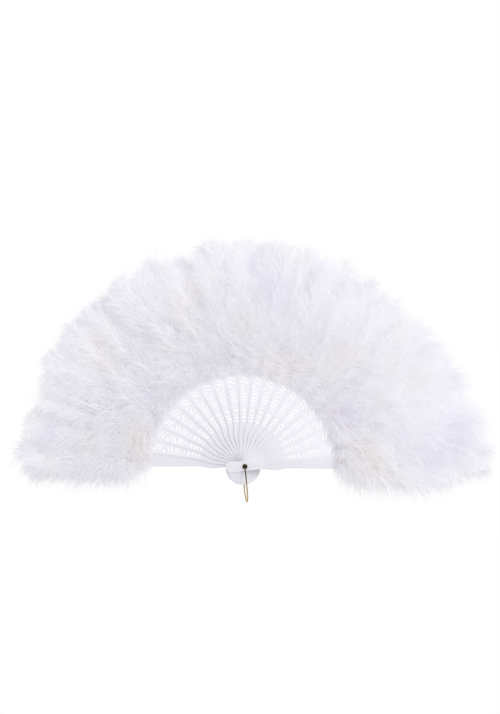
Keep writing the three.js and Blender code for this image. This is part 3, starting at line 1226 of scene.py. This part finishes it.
plume_sizes = {
    "Barb spacing": 0.00016,
    "Root share": 0.4,
    "Barb length": 0.036,
    "Barb radius": 0.00021,
    "Root lean": 2.3,
    "Tip lean": 0.85,
    "Depth share": 0.8,
    "Curl": 0.06,
    "Sag": 0.25,
    "Plume depth": 0.0245,
    "Shaft radius": 0.00014,
    "Down": marabou_down,
    "Horn": quill_horn,
}
for layer in range(last_layer + 1):
    chance = random.Random(first_seed + layer)
    middleness = min(max((layer - middle_from) / middle_layers, 0), 1)
    frontness = max(2 * layer / last_layer - 1, 0)
    tip = plume_reach + (middle_plume_reach - plume_reach) * middleness
    tip += (front_plume_reach - middle_plume_reach) * frontness**front_power - worn_plumes.get(layer, 0)
    runs = []
    for quill in range(long_quills):
        sideways = (2 * quill / (long_quills - 1) - 1) * long_fan
        sideways += chance.uniform(-long_wander, long_wander)
        run = {"sideways": sideways, "spread": root_spread, "flare": quill_flare}
        run["start"] = chance.uniform(*long_start)
        run["end"] = tip - chance.uniform(*long_wear) - long_drop * abs(sideways)
        run["depth"] = chance.uniform(-long_depth, long_depth)
        run["bow"] = chance.uniform(-long_bow, long_bow)
        runs.append(run)
    for quill in range(short_quills):
        sideways = (2 * quill / (short_quills - 1) - 1) * short_fan
        sideways += chance.uniform(-short_wander, short_wander)
        run = {"sideways": sideways, "spread": root_spread, "flare": quill_flare, "bow": 0.0}
        run["start"] = short_start
        run["end"] = chance.uniform(*short_end)
        run["depth"] = (1 if quill % 2 else -1) * chance.uniform(*short_depth)
        runs.append(run)
    for quill in range(skirt_quills if layer in skirt_drop else 0):
        run = {"start": skirt_start[layer], "spread": 0.0, "flare": skirt_flare, "bow": 0.0}
        run["sideways"] = chance.uniform(*skirt_drop[layer])
        run["end"] = skirt_first_end + (tip - skirt_last_end) * quill / (skirt_quills - 1)
        run["depth"] = chance.uniform(-skirt_depth, skirt_depth)
        runs.append(run)
    for run in bare_quills.get(layer, []):
        runs.append({**run, "spread": 0.0, "flare": 1.0, "bow": bare_bow, "stoutness": bare_stoutness})
    vertices = []
    edges = []
    stoutness = []
    in_skin = []
    for run in runs:
        for point in range(quill_points):
            share = point / (quill_points - 1)
            opened = run["spread"] + (1 - run["spread"]) * share ** run["flare"]
            aside = run["sideways"] * opened + run["bow"] * math.sin(share * math.pi)
            away = root_lift + (1 - root_lift) * math.sin(share * math.pi / 2)
            place_on = outward(layer) * (run["start"] + (run["end"] - run["start"]) * share)
            place_on += outward(layer, math.pi / 2) * aside
            place_on.y = layer_depth(layer) + run["depth"] * away
            if point:
                edges.append((len(vertices) - 1, len(vertices)))
            vertices.append(place_on)
            stoutness.append(run.get("stoutness", 1.0))
            in_skin.append(run.get("in_skin", 1.0) * min(max((skin_end - share) / skin_fade, 0), 1))
    quill_mesh = bpy.data.meshes.new("quills")
    quill_mesh.from_pydata(vertices, edges, [])
    for name, values in (("stoutness", stoutness), ("in_skin", in_skin)):
        quill_mesh.attributes.new(name, "FLOAT", "POINT").data.foreach_set("value", values)
    stem = body_names[layer].replace("stick_", "")
    node_name = f"plume_{stem}" if 0 < layer < last_layer else f"{stem}_plume"
    plume = grown(
        f"marabou_{stem}",
        quill_mesh,
        down_tree,
        {
            **plume_sizes,
            "Plume root": plume_root + chance.uniform(-root_wander, root_wander),
            "Plume reach": tip + fringe,
            "Rib depth": layer_depth(layer),
            "Seed": first_seed + layer,
        },
    )
    plume.data.shade_flat()
    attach(plume, body_names[layer])
    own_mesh(plume)
    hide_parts(node_name)


# The studio: a pale floor well below the hanging fan, a broad soft lamp above and to the right, and an even
# white surround that the lens and the bright metal see as white.
floor_height = -0.45
floor_radius = 0.56
floor_sides = 64
floor_glow = 0.8
lamp_place = (0.8, -1.35, 0.75)
lamp_aim = (0, 0, 0.12)
light_bounces = 32


def seen_by_lens(tree):
    """One for rays from the lens, straight or through gloss and glass, and zero for light on the fan."""
    rays = add_node(tree, "ShaderNodeLightPath").outputs
    seen = rays["Is Camera Ray"]
    for ray in ("Is Glossy Ray", "Is Transmission Ray"):
        seen = add_node(tree, "ShaderNodeMath", {0: seen, 1: rays[ray]}, operation="MAXIMUM").outputs[0]
    return seen


floor_mesh = bpy.data.meshes.new("studio_floor")
rim = []
for side in range(floor_sides):
    angle = 2 * math.pi * side / floor_sides
    rim.append((floor_radius * math.cos(angle), floor_radius * math.sin(angle), floor_height))
floor_mesh.from_pydata(rim, [], [tuple(range(floor_sides))])
floor_paper = bpy.data.materials.new("white_paper_floor")
floor_paper.use_nodes = True
tree = floor_paper.node_tree
shader = tree.nodes["Principled BSDF"]
shader.inputs["Base Color"].default_value = linear("#CDCCD1")
shader.inputs["Roughness"].default_value = 0.9
partly_seen = add_node(tree, "ShaderNodeMath", {0: seen_by_lens(tree), 1: floor_glow}, operation="MULTIPLY")
glow = add_node(tree, "ShaderNodeEmission", {"Color": (1, 1, 1, 1), "Strength": 1.0})
paper = add_node(
    tree,
    "ShaderNodeMixShader",
    {0: partly_seen.outputs[0], 1: shader.outputs["BSDF"], 2: glow.outputs["Emission"]},
)
tree.links.new(paper.outputs["Shader"], tree.nodes["Material Output"].inputs["Surface"])
floor_mesh.materials.append(floor_paper)
floor = bpy.data.objects.new("studio_floor", floor_mesh)
bpy.context.scene.collection.objects.link(floor)
floor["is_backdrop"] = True

key = bpy.data.lights.new("key_softbox", "AREA")
key.shape = "DISK"
key.size = 0.9
key.energy = 9.5
key_lamp = bpy.data.objects.new("key_softbox", key)
key_lamp.location = lamp_place
key_lamp.rotation_euler = (Vector(lamp_aim) - key_lamp.location).to_track_quat("-Z", "Y").to_euler()
bpy.context.scene.collection.objects.link(key_lamp)

surround = bpy.data.worlds.new("white_surround")
surround.use_nodes = True
tree = surround.node_tree
light = tree.nodes["Background"]
light.inputs["Color"].default_value = linear("#F6F6FD")
light.inputs["Strength"].default_value = 0.8
white = add_node(tree, "ShaderNodeBackground", {"Color": (1, 1, 1, 1), "Strength": 1.0})
surface = add_node(
    tree,
    "ShaderNodeMixShader",
    {0: seen_by_lens(tree), 1: light.outputs["Background"], 2: white.outputs["Background"]},
)
tree.links.new(surface.outputs["Shader"], tree.nodes["World Output"].inputs["Surface"])
bpy.context.scene.world = surround
# White down passes light on many times before it comes out again.
bpy.context.scene.cycles.max_bounces = light_bounces
bpy.context.scene.cycles.diffuse_bounces = light_bounces
bpy.context.scene.view_settings.view_transform = "Standard"

boxes = {"cad": cad_box, "visual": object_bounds()}
boxes = {name: [list(corner) for corner in box] for name, box in boxes.items()}
